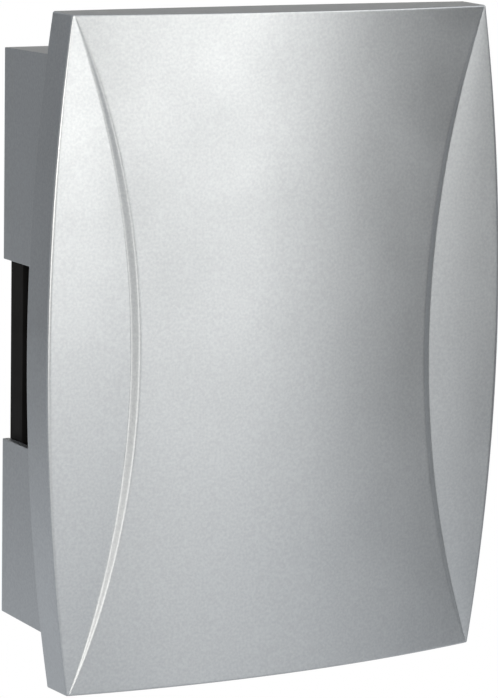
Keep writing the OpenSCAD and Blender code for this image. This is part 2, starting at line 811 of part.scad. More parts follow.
module terminal_screws() {
    seat_z = clamp_z + clamp_d / 2 + 1;
    reach = seat_z - clamp_z - clamp_bore / 2 + lead_d / 4;
    turn = 30;
    color("lightgray") on_wall() translate([0, block_y, seat_z]) both_sides()
        for (sy = [-1, 1]) translate([pole_pitch / 2, sy * clamp_screw_y, 0]) rotate(turn * sy)
            slotted_screw(clamp_screw_d, reach, clamp_head_d, clamp_head_t);
}

module terminal_fixing_screw() {
    shank = plate_t + web_h - blind_floor - screw_tip_gap;
    head_d = min(screw_head_d, pole_pitch - tower_w - 2 * loose_gap);
    color("dimgray") on_wall() translate([0, block_y, plate_t + web_h])
        slotted_screw(screw_d, shank, head_d, screw_head_t);
}

module coil_lead() {
    on_wall() swept_tube(lead_route, lead_d, lead_sides, function(i) [1, 0, 0.2]);
}

module coil_lead_left() {
    color("firebrick") coil_lead();
}

module coil_lead_right() {
    color("royalblue") mirror([1, 0, 0]) coil_lead();
}

front_cover();
rear_frame();
back_plate();
frame_screws();
tone_bar_low();
tone_bar_high();
bar_grommets();
bar_pins();
coil_yoke();
yoke_screws();
coil_bobbin();
coil_winding();
coil_tape();
coil_tags();
plunger_tube();
plunger_core();
striker_left();
striker_right();
spring_collar();
return_spring();
terminal_block();
terminal_tubes();
terminal_screws();
terminal_fixing_screw();
coil_lead_left();
coil_lead_right();
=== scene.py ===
"""Looks of a two-tone wall chime: silver cover and frame, black back plate, solenoid and two tone bars.

The file is laid out as an add-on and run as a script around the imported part. Lengths are in metres.
The wall is the plane y = 0, +Z is up and the front faces -Y.
"""
import math

import bmesh
import bpy
import numpy as np
from bpy.props import FloatProperty, FloatVectorProperty, IntProperty, PointerProperty
from mathutils import Matrix, Vector


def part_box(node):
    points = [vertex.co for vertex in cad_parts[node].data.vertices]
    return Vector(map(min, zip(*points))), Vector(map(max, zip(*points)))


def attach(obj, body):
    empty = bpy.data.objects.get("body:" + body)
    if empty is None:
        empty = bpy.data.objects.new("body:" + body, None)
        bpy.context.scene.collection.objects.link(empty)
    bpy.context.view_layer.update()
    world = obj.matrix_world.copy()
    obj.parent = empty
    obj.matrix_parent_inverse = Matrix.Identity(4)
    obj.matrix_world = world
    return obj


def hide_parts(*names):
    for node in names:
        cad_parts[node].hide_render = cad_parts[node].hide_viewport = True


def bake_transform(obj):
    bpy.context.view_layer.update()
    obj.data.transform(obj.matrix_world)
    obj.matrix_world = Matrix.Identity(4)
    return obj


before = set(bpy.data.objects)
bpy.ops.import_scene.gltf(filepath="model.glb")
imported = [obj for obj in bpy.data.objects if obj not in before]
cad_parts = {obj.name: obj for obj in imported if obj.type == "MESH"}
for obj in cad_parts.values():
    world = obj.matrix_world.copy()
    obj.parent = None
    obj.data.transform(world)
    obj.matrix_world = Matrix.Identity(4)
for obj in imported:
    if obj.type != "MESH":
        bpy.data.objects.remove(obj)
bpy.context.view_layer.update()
COVER_LOW, COVER_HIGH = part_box("front_cover")

bl_info = {
    "name": "Two-Tone Wall Chime",
    "version": (1, 0, 0),
    "blender": (4, 5, 0),
    "location": "View3D > Sidebar > Chime",
    "description": "Builds the looks of a two-tone wall chime around its packed solids",
    "category": "Add Mesh",
}

MM = 0.001


def size(name, description, default):
    """A length that a user may change."""
    return FloatProperty(
        name=name, description=description, default=default, min=0.0, unit="LENGTH", precision=5
    )


def tint(name, description, default):
    """A surface colour that a user may change."""
    return FloatVectorProperty(
        name=name, description=description, default=default, size=3, min=0.0, max=1.0, subtype="COLOR"
    )


def ratio(name, description, default, high=1.0):
    """A share or strength that a user may change."""
    return FloatProperty(name=name, description=description, default=default, min=0.0, max=high)


def bearing(name, description, degrees):
    """An angle that a user may change."""
    return FloatProperty(
        name=name, description=description, default=math.radians(degrees), subtype="ANGLE"
    )


def lamp_power(name, description, default):
    """A lamp's power that a user may change."""
    return FloatProperty(name=name, description=description, default=default, min=0.0, unit="POWER")


class CoverSizes(bpy.types.PropertyGroup):
    """Sizes of the moulded front cover."""

    height: size("Height", "Height of the cover at the back of its rim", COVER_HIGH.z - COVER_LOW.z)
    width: size("Width", "Width of the cover across its bowed sides", COVER_HIGH.x - COVER_LOW.x)
    rim_back: size("Rim back", "Distance of the rim's back from the wall", -COVER_HIGH.y)
    front: size("Front", "Distance of the crown from the wall", -COVER_LOW.y)
    rim_depth: size("Rim depth", "Depth of the rim behind the side fields' outer edges", 12.5 * MM)
    side_bulge: size("Side bulge", "How far each long side bows out at mid-height", 7.6 * MM)
    field_rise: size("Field rise", "Rise of each side field from its outer edge to the step", 1.9 * MM)
    field_least: size("Least field", "Width of the side fields at the corners", 0.1 * MM)
    waist: size("Waist", "Width of the centre panel at its waist", 102.8 * MM)
    step_run: size("Step run", "Sideways run of the step around the centre panel", 2.2 * MM)
    draft: size("Draft", "Narrowing of the rim from back to front on each side", 0.1 * MM)
    end_draft: size("End draft", "Narrowing of the rim from back to front at each end", 0.3 * MM)
    edge_r: size("Edge rounding", "Rounding of the cover's front edges", 0.6 * MM)
    edge_swell: size("Edge swell", "Growth of the side edges' rounding towards mid-height", 0.95 * MM)
    edge_flat: ratio("Edge flatness", "Share of that growth that the rounding has in depth", 0.15)
    brow_r: size("Brow rounding", "Rounding along the top of the step", 2.2 * MM)
    foot_r: size("Foot rounding", "Rounding along the foot of the step", 1.5 * MM)
    lip_r: size("Lip rounding", "Rounding of the rim's back edges", 0.5 * MM)
    wall: size("Wall", "Wall thickness of the cover", 2.4 * MM)
    rib_t: size("Rib thickness", "Thickness of the locating ribs", 1.8 * MM)
    rib_pitch: size("Rib pitch", "Spacing of the locating ribs along each side", 56 * MM)
    spigot_gap: size("Spigot gap", "Gap between the ribs and the frame's spigot", 0.25 * MM)


class WorkSizes(bpy.types.PropertyGroup):
    """Sizes of the wound and swept pieces inside the box."""

    axis_out: size("Axis", "Distance of the solenoid's axis from the wall", 19 * MM)
    wire_pitch: size("Wire pitch", "Pitch of the turns in the winding", 0.5 * MM)
    spring_r: size("Spring radius", "Radius of the return spring at the middle of its wire", 5.1 * MM)
    spring_wire: size("Spring wire", "Wire diameter of the return spring", 0.6 * MM)
    spring_curls: IntProperty(
        name="Spring curls", description="Number of curls of the return spring", default=5, min=1
    )
    lead_d: size("Lead diameter", "Diameter of the coil leads", 1.8 * MM)
    soft_edge: size("Soft edge", "Rounding of moulded and stamped edges", 0.25 * MM)


class FinishColours(bpy.types.PropertyGroup):
    """Base colours of the finishes."""

    silver: tint("Silver paint", "Metallic paint of the cover and the frame", (0.312, 0.335, 0.361))
    black: tint("Black plastic", "Moulded back plate", (0.008, 0.008, 0.0084))
    zinc: tint("Zinc", "Plated screws and pins", (0.62, 0.62, 0.60))
    bar: tint("Bar steel", "Plated tone bars", (0.66, 0.67, 0.69))
    yoke: tint("Yoke steel", "Plated yoke", (0.58, 0.58, 0.57))
    core: tint("Core steel", "Turned plunger core", (0.42, 0.42, 0.43))
    spring: tint("Spring steel", "Return spring", (0.50, 0.50, 0.52))
    rubber: tint("Rubber", "Bar grommets", (0.018, 0.018, 0.019))
    former: tint("Former plastic", "Moulded former", (0.66, 0.60, 0.46))
    nylon: tint("White nylon", "Strikers and collar", (0.78, 0.77, 0.72))
    copper: tint("Copper wire", "Enamelled winding wire", (0.52, 0.17, 0.065))
    tape: tint("Amber tape", "Insulating wrap", (0.62, 0.33, 0.05))
    brass: tint("Brass", "Clamping tubes, tags and guide tube", (0.70, 0.48, 0.20))
    block: tint("Block plastic", "Terminal block", (0.74, 0.74, 0.71))
    red: tint("Red insulation", "Left coil lead", (0.46, 0.022, 0.02))
    blue: tint("Blue insulation", "Right coil lead", (0.025, 0.07, 0.36))
    solder: tint("Solder", "Joints between tags and leads", (0.60, 0.60, 0.61))


class StageValues(bpy.types.PropertyGroup):
    """Camera, lamps, cards and floor."""

    lens: FloatProperty(
        name="Lens", description="Focal length of the camera", default=177.1, min=1.0, unit="CAMERA"
    )
    camera_place: FloatVectorProperty(
        name="Camera", description="Place of the camera", size=3, subtype="TRANSLATION", unit="LENGTH",
        default=(-0.5164, -0.9065, 0.1723),
    )
    yaw: bearing("Yaw", "Turn of the camera to the right of the wall's normal", 30.296)
    pitch: bearing("Pitch", "Downward tilt of the camera", 9.781)
    roll: bearing("Roll", "Turn of the camera about its own axis", 1.039)
    floor_drop: size("Floor drop", "Distance of the floor below the cover", 0.15)
    floor_tint: tint("Floor", "Colour of the floor", (0.86, 0.86, 0.86))
    ambient: ratio("Ambient", "Strength of the even light from all round", 0.65, 5.0)
    key_power: lamp_power("Key light", "Power of the front light", 4.08)
    high_power: lamp_power("High light", "Power of the upper light", 1.38)
    top_power: lamp_power("Top light", "Power of the overhead light", 5.2)
    edge_power: lamp_power("Edge light", "Power of the left light", 8.3)
    lamp_tint: tint("Lamps", "Colour of the lamps", (1.0, 0.93, 0.83))
    card_tint: tint("Dark cards", "Colour of the cards in front and to the right", (0.03, 0.03, 0.03))
    left_tint: tint("Left cards", "Colour of the cards to the left", (0.1, 0.1, 0.1))
    back_tint: tint("Back card", "Colour of the card behind the part", (0.43, 0.43, 0.43))
    card_reach: size("Card reach", "Distance of the cards from the part", 0.9)
    right_card_top: size("Right card", "Height of the right card's top above the part's middle", 0.16)
    far_card_reach: size("Far card reach", "Distance of the far right card from the part", 0.62)
    far_card_top: size("Far card", "Height of the far right card's top above the part's middle", 0.16)
    front_card_top: size("Front card", "Height of the front card's top above the part's middle", 1.0)
    left_card_top: size("Left card", "Height of the left card's top above the part's middle", 2.4)
    back_card_top: size("Back card", "Height of the back card's top above the part's middle", 1.6)


# Node material helpers


class Finish:
    """A node material with one Principled shader and the textures that vary its sockets."""

    def __init__(self, name):
        self.material = bpy.data.materials.new(name)
        self.material.use_nodes = True
        self.tree = self.material.node_tree
        self.shader = next(n for n in self.tree.nodes if n.type == "BSDF_PRINCIPLED")
        self.place = None

    def set(self, **values):
        """Sets constant values on the shader's sockets."""
        for key, value in values.items():
            self.shader.inputs[key.replace("_", " ")].default_value = value
        return self

    def node(self, kind, **values):
        """Adds a node and sets its properties."""
        n = self.tree.nodes.new(kind)
        for key, value in values.items():
            setattr(n, key, value)
        return n

    def link(self, a, b):
        """Joins an output to an input."""
        self.tree.links.new(a, b)

    def coords(self, stretch=(1, 1, 1)):
        """Object coordinates, stretched along the axes."""
        if self.place is None:
            self.place = self.node("ShaderNodeTexCoord")
        mapping = self.node("ShaderNodeMapping")
        mapping.inputs["Scale"].default_value = stretch
        self.link(self.place.outputs["Object"], mapping.inputs["Vector"])
        return mapping.outputs["Vector"]

    def noise(self, scale, detail=2.0, rough=0.5, stretch=(1, 1, 1)):
        """A noise texture on the object."""
        n = self.node("ShaderNodeTexNoise")
        n.inputs["Scale"].default_value = scale
        n.inputs["Detail"].default_value = detail
        n.inputs["Roughness"].default_value = rough
        self.link(self.coords(stretch), n.inputs["Vector"])
        return n.outputs["Fac"]

    def cells(self, scale):
        """A cell texture on the object."""
        n = self.node("ShaderNodeTexVoronoi")
        n.inputs["Scale"].default_value = scale
        self.link(self.coords(), n.inputs["Vector"])
        return n.outputs["Color"]

    def span(self, value, low, high, start=0.3, end=0.7):
        """Maps a texture value to the range from low to high."""
        n = self.node("ShaderNodeMapRange")
        for key, v in (("From Min", start), ("From Max", end), ("To Min", low), ("To Max", high)):
            n.inputs[key].default_value = v
        self.link(value, n.inputs["Value"])
        return n.outputs["Result"]

    def colours(self, value, colour, darker, lighter, start=0.3, end=0.7):
        """Runs the base colour from a darker to a lighter shade along a texture value."""
        n = self.node("ShaderNodeValToRGB")
        first, last = n.color_ramp.elements
        first.position = start
        first.color = (*shade(colour, darker), 1)
        last.position = end
        last.color = (*shade(colour, lighter), 1)
        self.link(value, n.inputs["Fac"])
        self.into("Base Color", n.outputs["Color"])

    def into(self, socket, output):
        """Feeds a socket of the shader."""
        self.link(output, self.shader.inputs[socket])

    def bump(self, heights, depth):
        """Bumps of the given depth, one after another for several heights."""
        normal = None
        for height, share in heights:
            n = self.node("ShaderNodeBump")
            n.inputs["Strength"].default_value = 1.0
            n.inputs["Distance"].default_value = depth * share
            self.link(height, n.inputs["Height"])
            if normal is not None:
                self.link(normal, n.inputs["Normal"])
            normal = n.outputs["Normal"]
        self.into("Normal", normal)
        return self


def shade(colour, factor):
    """A colour made lighter or darker."""
    return tuple(min(1.0, c * factor) for c in colour)


def silver_paint(c):
    """Sprayed metallic paint: fine flakes and a soft grain over a smooth moulding."""
    f = Finish("silver_paint").set(Metallic=0.95)
    flakes = f.noise(1250, 1.5, 0.5)
    cloud = f.noise(38, 3.0)
    f.colours(flakes, c.silver, 0.94, 1.06)
    f.into("Roughness", f.span(cloud, 0.37, 0.43))
    return f.bump([(f.noise(2600, 2.0, 0.6), 1.0), (f.noise(420, 2.0), 0.8)], 0.012 * MM).material


def moulded(name, colour, rough, grain=1800, depth=0.02 * MM, spec=0.5, vary=0.12):
    """Injection-moulded plastic with a spark-eroded grain and faint flow marks."""
    f = Finish(name).set(Specular_IOR_Level=spec)
    flow = f.noise(60, 4.0, 0.6, (1, 1, 0.35))
    f.colours(flow, colour, 1 - vary, 1 + vary)
    f.into("Roughness", f.span(f.noise(240, 3.0), rough - 0.06, rough + 0.06))
    return f.bump([(f.noise(grain, 3.0, 0.65), 1.0)], depth).material


def plated(name, colour, rough, crystals=900):
    """Plated steel with a faint crystal mottle and handling marks."""
    f = Finish(name).set(Metallic=1.0)
    f.colours(f.cells(crystals), colour, 0.86, 1.14, start=0.0, end=1.0)
    f.into("Roughness", f.span(f.noise(180, 5.0, 0.65), rough - 0.08, rough + 0.10))
    return f.bump([(f.noise(1500, 3.0), 1.0)], 0.006 * MM).material


def drawn(name, colour, rough, stretch, scale):
    """Metal with fine lines along the way it was drawn or turned."""
    f = Finish(name).set(Metallic=1.0)
    lines = f.noise(scale, 3.0, 0.6, stretch)
    f.colours(lines, colour, 0.90, 1.10)
    f.into("Roughness", f.span(lines, rough - 0.07, rough + 0.10))
    return f.bump([(lines, 1.0)], 0.008 * MM).material


def enamelled_copper(c):
    """Copper wire under clear enamel, a little uneven from turn to turn."""
    f = Finish("copper").set(Metallic=0.85, Coat_Weight=0.5, Coat_Roughness=0.15)
    turns = f.noise(700, 2.0, 0.5, (1, 0.06, 0.06))
    f.colours(turns, c.copper, 0.78, 1.2)
    f.into("Roughness", f.span(turns, 0.28, 0.42))
    return f.bump([(f.noise(2400, 2.0), 1.0)], 0.006 * MM).material


def amber_tape(c):
    """Glossy polyester wrap with faint creases round the coil."""
    f = Finish("amber_tape").set(Coat_Weight=0.35, Coat_Roughness=0.2)
    creases = f.noise(160, 4.0, 0.6, (2.6, 0.5, 0.5))
    f.colours(creases, c.tape, 0.82, 1.12)
    f.into("Roughness", f.span(creases, 0.26, 0.42))
    return f.bump([(creases, 1.0)], 0.05 * MM).material


def sheathed(name, colour):
    """Extruded insulation of a lead."""
    f = Finish(name)
    streaks = f.noise(420, 3.0, 0.6, (1, 1, 0.2))
    f.colours(streaks, colour, 0.82, 1.16)
    f.into("Roughness", f.span(streaks, 0.36, 0.50))
    return f.bump([(f.noise(1500, 2.0), 1.0)], 0.012 * MM).material


FINISHES = {}


def finish_set(c):
    """Makes each finish once."""
    if not FINISHES:
        FINISHES.update(
            silver_paint=silver_paint(c),
            black_plastic=moulded(
                "black_plastic", c.black, 0.45, grain=1500, depth=0.007 * MM, spec=0.02, vary=0.35
            ),
            zinc=plated("zinc", c.zinc, 0.34),
            bar_steel=drawn("bar_steel", c.bar, 0.27, (1, 1, 0.04), scale=1400),
            yoke_steel=plated("yoke_steel", c.yoke, 0.36, crystals=600),
            core_steel=drawn("core_steel", c.core, 0.30, (1, 0.05, 0.05), scale=2200),
            spring_steel=drawn("spring_steel", c.spring, 0.28, (0.3, 1, 1), scale=1800),
            rubber=moulded("rubber", c.rubber, 0.72, grain=2200, depth=0.03 * MM, spec=0.3, vary=0.25),
            former_plastic=moulded("former_plastic", c.former, 0.44),
            white_nylon=moulded("white_nylon", c.nylon, 0.42, grain=1600, depth=0.012 * MM),
            copper=enamelled_copper(c),
            amber_tape=amber_tape(c),
            brass=drawn("brass", c.brass, 0.26, (1, 0.08, 1), scale=1500),
            block_plastic=moulded("block_plastic", c.block, 0.46, grain=1400, depth=0.015 * MM),
            red_insulation=sheathed("red_insulation", c.red),
            blue_insulation=sheathed("blue_insulation", c.blue),
            solder=plated("solder", c.solder, 0.30, crystals=400),
        )
    return FINISHES


# Mesh helpers

WELD = 1e-6
FLAT_ANGLE = math.radians(0.4)
EDGE_ANGLE = math.radians(32)
EDGE_CREASE = 30
LONG_EDGE = 2 * MM


def on_wall(points):
    """Stands points drawn on the wall (x right, y up, z out) upright in the part's frame."""
    p = np.asarray(points, float)
    return np.stack([p[..., 0], -p[..., 2], p[..., 1]], -1)


def even_shading(piece):
    """Lets large faces rule the normals beside their rounded edges."""
    weighted = piece.modifiers.new("even_shading", "WEIGHTED_NORMAL")
    weighted.mode = "FACE_AREA"
    weighted.weight = 100
    weighted.keep_sharp = True


def show(name, mesh, material, body, slot, *nodes, sharp, even):
    """Shades a mesh, gives it its finish and puts it on its body, in place of the nodes it replaces."""
    mesh.shade_smooth()
    mesh.set_sharp_from_angle(angle=math.radians(sharp))
    mesh.materials.clear()
    mesh.materials.append(material)
    piece = bpy.data.objects.new(name, mesh)
    bpy.context.scene.collection.objects.link(piece)
    if even:
        even_shading(piece)
    if nodes:
        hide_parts(*nodes)
    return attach(piece, body)


def add_piece(name, points, faces, material, body, slot, *nodes, sharp=50, even=False):
    """Makes a piece from points in the part's frame."""
    mesh = bpy.data.meshes.new(name)
    mesh.from_pydata([tuple(p) for p in points], [], faces)
    if mesh.validate():
        raise RuntimeError(f"{name} has faces that don't hold")
    bm = bmesh.new()
    bm.from_mesh(mesh)
    bmesh.ops.recalc_face_normals(bm, faces=bm.faces)
    bm.to_mesh(mesh)
    bm.free()
    return show(name, mesh, material, body, slot, *nodes, sharp=sharp, even=even)


def roomy(e, edge, least):
    """True for a long edge whose neighbours leave room for a rounding."""
    room = 1.5 * edge
    return e.calc_length() > least and all(n.calc_length() > room for v in e.verts for n in v.link_edges)


def soften(node, name, edge, slot, material, least=0.0):
    """Copies a CAD node's shape, rounds its sharp edges a little and shows that in its place.

    With a least length, only the long edges that have room for it are rounded.
    """
    bm = bmesh.new()
    bm.from_mesh(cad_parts[node].data)
    bmesh.ops.remove_doubles(bm, verts=bm.verts, dist=WELD)
    bmesh.ops.dissolve_limit(bm, angle_limit=FLAT_ANGLE, verts=bm.verts, edges=bm.edges)
    edges = [e for e in bm.edges if len(e.link_faces) == 2 and e.calc_face_angle() > EDGE_ANGLE]
    if least > 0:
        edges = [e for e in edges if roomy(e, edge, least)]
    bmesh.ops.bevel(
        bm, geom=edges, offset=edge, offset_type="OFFSET", segments=2, profile=0.5, affect="EDGES",
        clamp_overlap=True,
    )
    mesh = bpy.data.meshes.new(name)
    bm.to_mesh(mesh)
    bm.free()
    normals = mesh.attributes.get("custom_normal")
    if normals is not None:
        mesh.attributes.remove(normals)
    show(name, mesh, material, "base", slot, node, sharp=EDGE_CREASE, even=True)


def dress(node, material):
    """Gives a CAD node its finish."""
    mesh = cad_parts[node].data
    mesh.materials.clear()
    mesh.materials.append(material)


def circle(sides):
    """Angles spaced evenly all round."""
    return np.linspace(0, 2 * math.pi, sides, endpoint=False)


def ring_faces(a, b, closed=True):
    """Quads between two rings of the same length."""
    n = len(a)
    last = n if closed else n - 1
    return [(a[k], a[(k + 1) % n], b[(k + 1) % n], b[k]) for k in range(last)]


def ring_stack(rings, closed=False):
    """Points and faces of a run of rings, with capped ends or closed from the last ring to the first."""
    sides = len(rings[0])
    places = [list(range(k * sides, (k + 1) * sides)) for k in range(len(rings))]
    following = places[1:] + places[:1] if closed else places[1:]
    faces = []
    for a, b in zip(places, following):
        faces += ring_faces(a, b)
    if not closed:
        faces += [tuple(places[0]), tuple(places[-1])]
    return np.concatenate(rings), faces


def tube(path, radius, sides, up):
    """A round tube with capped ends through a list of points."""
    along = np.gradient(path, axis=0)
    along /= np.linalg.norm(along, axis=1)[:, None]
    u = np.cross(along, up)
    u /= np.linalg.norm(u, axis=1)[:, None]
    v = np.cross(along, u)
    turn = circle(sides)[None, :, None]
    return ring_stack(path[:, None] + radius * (np.cos(turn) * u[:, None] + np.sin(turn) * v[:, None]))


def join(points, faces, more, more_faces):
    """Adds one shape's points and faces to another's and returns where its points begin."""
    shift = len(points)
    points += more
    faces += [tuple(i + shift for i in f) for f in more_faces]
    return shift


# Front cover

FRONT_ROWS = 72
CROWN_COLUMNS = 15
CROWN_CROWDING = 0.8
FIELD_COLUMNS = 5
ARC_POINTS = 5
FAN_POINTS = 6
EDGE_STEPS = 7
CUT_SHARE = 0.4
MARGIN = 0.5 * MM
FIELD_MARGIN = 0.4 * MM
LIP_TUCK = 0.29
HAIR = 1e-9


class CoverForm:
    """The cover's arcs and levels, drawn in by inset, on the wall: x right, y up, z out."""

    def __init__(self, s, inset):
        flat = s.rim_back + s.rim_depth
        rise = s.front - flat
        half_h = s.height / 2
        crown_x = s.width / 2 - s.side_bulge - s.draft
        side_r = (half_h**2 + s.side_bulge**2) / (2 * s.side_bulge)
        crown_r = (crown_x**2 + rise**2) / (2 * rise)
        brow_rise = rise * (1 - ((s.waist / 2 - s.step_run) / crown_x) ** 2)
        slope = s.step_run / (brow_rise - s.field_rise)
        foot_x = s.waist / 2 + s.field_rise * slope
        sag = crown_x - s.edge_r / 2 - foot_x
        waist_r = (half_h**2 + sag**2) / (2 * sag)
        self.s = s
        self.back = s.rim_back
        self.flat = flat - inset
        self.lean = s.end_draft / s.rim_depth
        self.side_axis = s.width / 2 - side_r
        self.back_reach = side_r - inset
        self.edge_reach = side_r - inset - s.draft - s.edge_r
        self.field_tan = s.field_rise / (s.width / 2 - s.draft - s.edge_r - s.waist / 2)
        self.crown_axis = s.front - crown_r
        self.crown_r = crown_r - inset
        self.waist_axis = foot_x + waist_r
        self.step_reach = waist_r + inset * math.hypot(1, slope)
        self.step_level = flat
        self.slope = slope
        self.end_r = s.rim_back - self.crown_axis
        self.end_back = half_h - inset
        self.end_in = self.end_back - self.lean * (crown_r - self.end_r) - s.edge_r

    def crown_z(self, x):
        """Level of the crown."""
        return self.crown_axis + np.sqrt(self.crown_r**2 - x**2)

    def swell(self, y):
        """Growth of the side edge's rounding at height y, and of the field beside it."""
        return self.s.edge_swell * (1 - (2 * y / self.s.height) ** 2)

    def edge_x(self, y):
        """Where the side field ends and the side edge's rounding begins."""
        return self.side_axis + np.sqrt((self.edge_reach - self.swell(y)) ** 2 - y**2)

    def inside(self, x, y):
        """Distance from the side edge that has no swell."""
        return self.edge_reach - np.hypot(x - self.side_axis, y)

    def cone_z(self, x, y):
        """Level of a side field that has no swell."""
        return self.flat + self.field_tan * self.inside(x, y)

    def field_z(self, x, y, width):
        """Level of the side field: a cone that bows up to the swollen edge."""
        return self.cone_z(x, y) + self.swell(y) * (1 - (self.inside(x, y) / width) ** 2)

    def step_x(self, y, z):
        """Where the step's face lies at height y and level z."""
        return self.waist_axis - math.sqrt((self.step_reach + (z - self.step_level) * self.slope) ** 2 - y**2)

    def foot(self, y):
        """Where the step meets the side field."""
        z = self.flat
        for _ in range(12):
            x = min(self.step_x(y, z), self.edge_x(y) - self.s.field_least)
            z = self.cone_z(x, y)
        return np.array([x, z])

    def brow(self, y, foot):
        """Where the step meets the crown."""
        x = foot[0]
        for _ in range(24):
            x = min(self.step_x(y, self.crown_z(x)), foot[0] - self.s.field_least)
        return np.array([x, self.crown_z(x)])

    def half_section(self, y):
        """Points from the middle of the crown to the inset side edge at height y."""
        s = self.s
        foot, far = self.foot(y), self.edge_x(y)
        brow = self.brow(y, foot)
        run = foot - brow
        length = np.linalg.norm(run)
        down = run / length
        tangent = np.array([1.0, -brow[0] / math.sqrt(self.crown_r**2 - brow[0] ** 2)])
        tangent /= np.linalg.norm(tangent)
        width = self.inside(foot[0], y)
        fall = self.field_tan - 2 * self.swell(y) / width
        level = np.array([1.0, -fall]) / math.hypot(1, fall)
        top = corner_arc(brow, tangent, down, s.brow_r, CUT_SHARE * length)
        low = corner_arc(foot, down, level, s.foot_r, CUT_SHARE * min(length, far - foot[0]))
        last_x = top[0][0] - MARGIN
        crown_x = np.append(np.linspace(0, 1, CROWN_COLUMNS)[:-1] ** CROWN_CROWDING * last_x, last_x)
        crown = [(x, self.crown_z(x)) for x in crown_x]
        middle = [tuple((top[-1] + low[0]) / 2)]
        near = low[-1][0]
        side = min(FIELD_MARGIN, (far - near) / 4)
        field_x = np.append(np.linspace(near + side, far - side, FIELD_COLUMNS), far)
        field = [(x, self.field_z(x, y, width)) for x in field_x]
        return np.array(crown + [tuple(p) for p in top] + middle + [tuple(p) for p in low] + field)


def turning(a, b):
    """Angle between two directions."""
    return math.acos(max(-1.0, min(1.0, float(np.dot(a, b)))))


def corner_arc(corner, before, after, radius, room):
    """Points of the rounding where one direction turns into another, within the room on each side."""
    angle = turning(before, after)
    radius = min(radius, room / math.tan(angle / 2))
    cut = radius * math.tan(angle / 2)
    start, end = corner - before * cut, corner + after * cut
    middle = (start + end) / 2
    towards = (corner - middle) / np.linalg.norm(corner - middle)
    points = []
    for t in np.linspace(0, 1, ARC_POINTS):
        a = (t - 0.5) * angle
        bow = (math.cos(a) - math.cos(angle / 2)) * radius
        across = (math.sin(a) / math.sin(angle / 2)) * 0.5 * (end - start)
        points.append(middle + across + towards * bow)
    return points


def cover_skin(form, lip):
    """One skin of the cover: points and faces of its front, edge and rim, and the ring at the rim's back."""
    last = form.end_in - MARGIN
    rows = np.concatenate([[-form.end_in], np.linspace(-last, last, FRONT_ROWS), [form.end_in]])
    points, grid = [], []
    for y in rows:
        half = form.half_section(y)
        xs = np.concatenate([-half[:0:-1, 0], half[:, 0]])
        zs = np.concatenate([half[:0:-1, 1], half[:, 1]])
        grid.append([len(points) + k for k in range(len(xs))])
        points += [(x, y, z) for x, z in zip(xs, zs)]
    faces = []
    for a, b in zip(grid, grid[1:]):
        faces += ring_faces(a, b, closed=False)
    rim = rim_outline(form, points, grid)
    ring = [g for g, _ in rim]
    for k in range(1, EDGE_STEPS + 1):
        angle = math.pi / 2 * k / EDGE_STEPS
        ring = add_skirt(points, faces, ring, [edge_point(form, points[g], n, angle) for g, n in rim])
    top = [points[i] for i in ring]
    foot = [rim_back_point(form, points[g], n) for g, n in rim]
    lip_r = form.s.lip_r
    tuck = lip_r * LIP_TUCK
    for level, inward in ((None, 0.0), (lip_r, 0.0), (tuck, tuck), (0.0, lip_r)):
        skirt = []
        for (_, n), t, b in zip(rim, top, foot):
            z = t[2] - MARGIN if level is None else form.back + level
            share = (t[2] - z) / (t[2] - form.back)
            xy = np.array(t[:2]) + (b - np.array(t[:2])) * share - n * inward * lip
            skirt.append((*xy, z))
        ring = add_skirt(points, faces, ring, skirt)
    return points, faces, ring


def rim_outline(form, points, grid):
    """The front's border in order, with its outward direction; each corner opens into a fan."""
    def side_way(i):
        x, y, _ = points[i]
        way = np.array([abs(x) - form.side_axis, y])
        way /= np.linalg.norm(way)
        return np.array([math.copysign(way[0], x), way[1]])

    def fan(i, a, b):
        angle = turning(a, b)
        return [(i, (a * math.sin((1 - t) * angle) + b * math.sin(t * angle)) / math.sin(angle))
                for t in np.linspace(0, 1, FAN_POINTS)]

    down, up = np.array([0.0, -1.0]), np.array([0.0, 1.0])
    bottom, top = grid[0], grid[-1]
    right, left = [row[-1] for row in grid], [row[0] for row in grid]
    rim = [(i, down) for i in bottom[1:-1]]
    rim += fan(right[0], down, side_way(right[0]))
    rim += [(i, side_way(i)) for i in right[1:-1]]
    rim += fan(right[-1], side_way(right[-1]), up)
    rim += [(i, up) for i in top[-2:0:-1]]
    rim += fan(left[-1], up, side_way(left[-1]))
    rim += [(i, side_way(i)) for i in left[-2:0:-1]]
    rim += fan(left[0], side_way(left[0]), down)
    return rim


def edge_point(form, point, way, angle):
    """Where the front edge's rounding has turned by an angle, outside a point of the front's border."""
    x, y, z = point
    s = form.s
    grow = form.swell(y) if abs(way[0]) > HAIR else 0.0
    reach, depth = s.edge_r + grow, s.edge_r + s.edge_flat * grow
    return (*(np.array([x, y]) + way * math.sin(angle) * reach), z - (1 - math.cos(angle)) * depth)


def rim_back_point(form, point, way):
    """Where the rim's wall meets its back, below a point of the front's border."""
    x, y, _ = point
    side = form.back_reach - form.edge_reach + form.swell(y)
    end_r = math.hypot(x, form.end_r)
    end = form.end_back - form.lean * (end_r - form.end_r) - abs(y)
    if abs(way[0]) < HAIR:
        reach = end
    elif abs(abs(y) - form.end_in) > HAIR:
        reach = side
    else:
        reach = side + (end - side) * abs(way[1])
    return np.array([x, y]) + way * reach


def add_skirt(points, faces, ring, skirt):
    """Adds a ring of points, joined to the ring before it, and returns its places."""
    new = list(range(len(points), len(points) + len(skirt)))
    points += skirt
    faces += skirt_faces(ring, new)
    return new


def skirt_faces(a, b):
    """Faces between two rings, with triangles where the first ring stays at one point."""
    n = len(a)
    faces = []
    for k in range(n):
        j = (k + 1) % n
        faces.append((a[k], a[j], b[j], b[k]) if a[k] != a[j] else (a[k], b[j], b[k]))
    return faces


